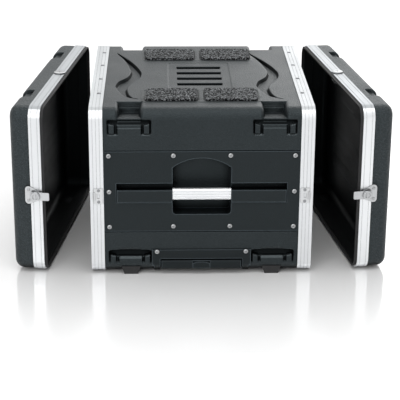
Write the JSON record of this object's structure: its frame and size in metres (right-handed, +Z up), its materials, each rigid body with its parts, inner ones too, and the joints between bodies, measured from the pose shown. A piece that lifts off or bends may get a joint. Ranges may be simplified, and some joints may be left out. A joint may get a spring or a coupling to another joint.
{
  "type": "equipment rack case",
  "caption": "Rolling rack case: moulded body with aluminium edging, inner rack rails, side handles, tow handle and wheels, with two lift-off end lids standing open.",
  "frame": {"origin": "floor level, middle of the whole outline with the lids standing beside the body", "axes": "+X and -X point out of the two open ends, -Y towards the side with the tow handle, +Z up"},
  "size_m": [0.8166, 0.5694, 0.3835],
  "materials": {
    "shell_plastic": "satin, fine pebble grain",
    "panel_plastic": "satin, fine pebble grain",
    "edging_aluminium": "satin anodised, drawn lengthwise",
    "grip_aluminium": "satin anodised, grooved",
    "tube_aluminium": "satin anodised",
    "black_rubber": "matt",
    "pad_rubber": "speckled, textured",
    "tyre_rubber": "matt",
    "zinc_steel": "zinc plated",
    "rail_steel": "black powder coat",
    "gloss_black": "moulded, light gloss",
    "wheel_plastic": "moulded"
  },
  "bodies": {
    "case": {"case_shell": "shell_plastic", "left_valance": "edging_aluminium", "right_valance": "edging_aluminium", "left_seal": "black_rubber", "right_seal": "black_rubber", "near_panel": "panel_plastic", "far_panel": "panel_plastic", "near_grip": "grip_aluminium", "far_grip": "grip_aluminium", "grip_ends": "gloss_black", "panel_screws": "zinc_steel", "panel_nuts": "zinc_steel", "left_rails": "rail_steel", "right_rails": "rail_steel", "latch_keepers": "zinc_steel", "lock_catches": "zinc_steel", "case_rivets": "zinc_steel", "top_pads": "pad_rubber", "tow_frame": "gloss_black", "tow_outer_tubes": "tube_aluminium", "tow_rear_block": "gloss_black", "feet": "black_rubber", "foot_screws": "zinc_steel", "wheel_housings": "gloss_black", "axles": "zinc_steel"},
    "left_lid": {"left_lid_shell": "shell_plastic", "left_lid_valance": "edging_aluminium", "left_lid_lip": "black_rubber", "left_lid_feet": "black_rubber", "left_lid_rivets": "zinc_steel", "left_latch_plates": "zinc_steel", "left_lock_body": "gloss_black", "left_lock_nut": "zinc_steel"},
    "left_near_wing": {"left_near_wing": "zinc_steel"},
    "left_near_hook": {"left_near_hook": "zinc_steel"},
    "left_far_wing": {"left_far_wing": "zinc_steel"},
    "left_far_hook": {"left_far_hook": "zinc_steel"},
    "left_lock_plug": {"left_lock_plug": "zinc_steel"},
    "right_lid": {"right_lid_shell": "shell_plastic", "right_lid_valance": "edging_aluminium", "right_lid_lip": "black_rubber", "right_lid_feet": "black_rubber", "right_lid_rivets": "zinc_steel", "right_latch_plates": "zinc_steel", "right_lock_body": "gloss_black", "right_lock_nut": "zinc_steel"},
    "right_near_wing": {"right_near_wing": "zinc_steel"},
    "right_near_hook": {"right_near_hook": "zinc_steel"},
    "right_far_wing": {"right_far_wing": "zinc_steel"},
    "right_far_hook": {"right_far_hook": "zinc_steel"},
    "right_lock_plug": {"right_lock_plug": "zinc_steel"},
    "tow_handle": {"tow_grip": "gloss_black", "tow_inner_tubes": "tube_aluminium"},
    "tow_button": {"tow_button": "gloss_black"},
    "left_wheel": {"left_wheel": "wheel_plastic", "left_tyre": "tyre_rubber"},
    "right_wheel": {"right_wheel": "wheel_plastic", "right_tyre": "tyre_rubber"}
  },
  "joints": [
    {"name": "left_lid_swing", "type": "hinge", "parent": "case", "child": "left_lid", "pos_m": [-0.24, 0.4636, 0.19], "axis": [0, 0, 1], "range_deg": [0, 8]},
    {"name": "left_near_wing_turn", "type": "hinge", "parent": "left_lid", "child": "left_near_wing", "pos_m": [-0.35781, -0.28125, 0.184], "axis": [-0.1392, -0.9903, 0], "range_deg": [0, 180]},
    {"name": "left_near_hook_draw", "type": "slide", "parent": "left_lid", "child": "left_near_hook", "axis": [-0.7775, 0.6288, 0], "range_m": [0, 0.00583]},
    {"name": "left_far_wing_turn", "type": "hinge", "parent": "left_lid", "child": "left_far_wing", "pos_m": [-0.2789, 0.28023, 0.184], "axis": [0.1392, 0.9903, 0], "range_deg": [0, 180]},
    {"name": "left_far_hook_draw", "type": "slide", "parent": "left_lid", "child": "left_far_hook", "axis": [-0.9208, -0.3901, 0], "range_m": [0, 0.00583]},
    {"name": "left_lock_turn", "type": "hinge", "parent": "left_lid", "child": "left_lock_plug", "pos_m": [-0.31786, -0.00058, 0.37], "axis": [0, 0, -1], "range_deg": [0, 90]},
    {"name": "right_lid_swing", "type": "hinge", "parent": "case", "child": "right_lid", "pos_m": [0.24, 0.4636, 0.19], "axis": [0, 0, -1], "range_deg": [0, 8]},
    {"name": "right_near_wing_turn", "type": "hinge", "parent": "right_lid", "child": "right_near_wing", "pos_m": [0.35781, -0.28125, 0.184], "axis": [0.1392, -0.9903, 0], "range_deg": [0, 180]},
    {"name": "right_near_hook_draw", "type": "slide", "parent": "right_lid", "child": "right_near_hook", "axis": [0.7775, 0.6288, 0], "range_m": [0, 0.00583]},
    {"name": "right_far_wing_turn", "type": "hinge", "parent": "right_lid", "child": "right_far_wing", "pos_m": [0.2789, 0.28023, 0.184], "axis": [-0.1392, 0.9903, 0], "range_deg": [0, 180]},
    {"name": "right_far_hook_draw", "type": "slide", "parent": "right_lid", "child": "right_far_hook", "axis": [0.9208, -0.3901, 0], "range_m": [0, 0.00583]},
    {"name": "right_lock_turn", "type": "hinge", "parent": "right_lid", "child": "right_lock_plug", "pos_m": [0.31786, -0.00058, 0.37], "axis": [0, 0, 1], "range_deg": [0, 90]},
    {"name": "tow_handle_pull", "type": "slide", "parent": "case", "child": "tow_handle", "axis": [0, -1, 0], "range_m": [0, 0.34]},
    {"name": "tow_button_press", "type": "slide", "parent": "tow_handle", "child": "tow_button", "axis": [0, 1, 0], "range_m": [0, 0.0035], "stiffness_N_per_m": 800},
    {"name": "left_wheel_spin", "type": "hinge", "parent": "case", "child": "left_wheel", "pos_m": [-0.154, 0.2391, 0.025], "axis": [1, 0, 0], "continuous": true},
    {"name": "right_wheel_spin", "type": "hinge", "parent": "case", "child": "right_wheel", "pos_m": [0.154, 0.2391, 0.025], "axis": [1, 0, 0], "continuous": true}
  ],
  "couplings": [
    {"joint": "left_near_wing_turn", "follows": "left_near_hook_draw", "rad_per_m": 538.8},
    {"joint": "left_far_wing_turn", "follows": "left_far_hook_draw", "rad_per_m": 538.8},
    {"joint": "right_near_wing_turn", "follows": "right_near_hook_draw", "rad_per_m": 538.8},
    {"joint": "right_far_wing_turn", "follows": "right_far_hook_draw", "rad_per_m": 538.8}
  ]
}
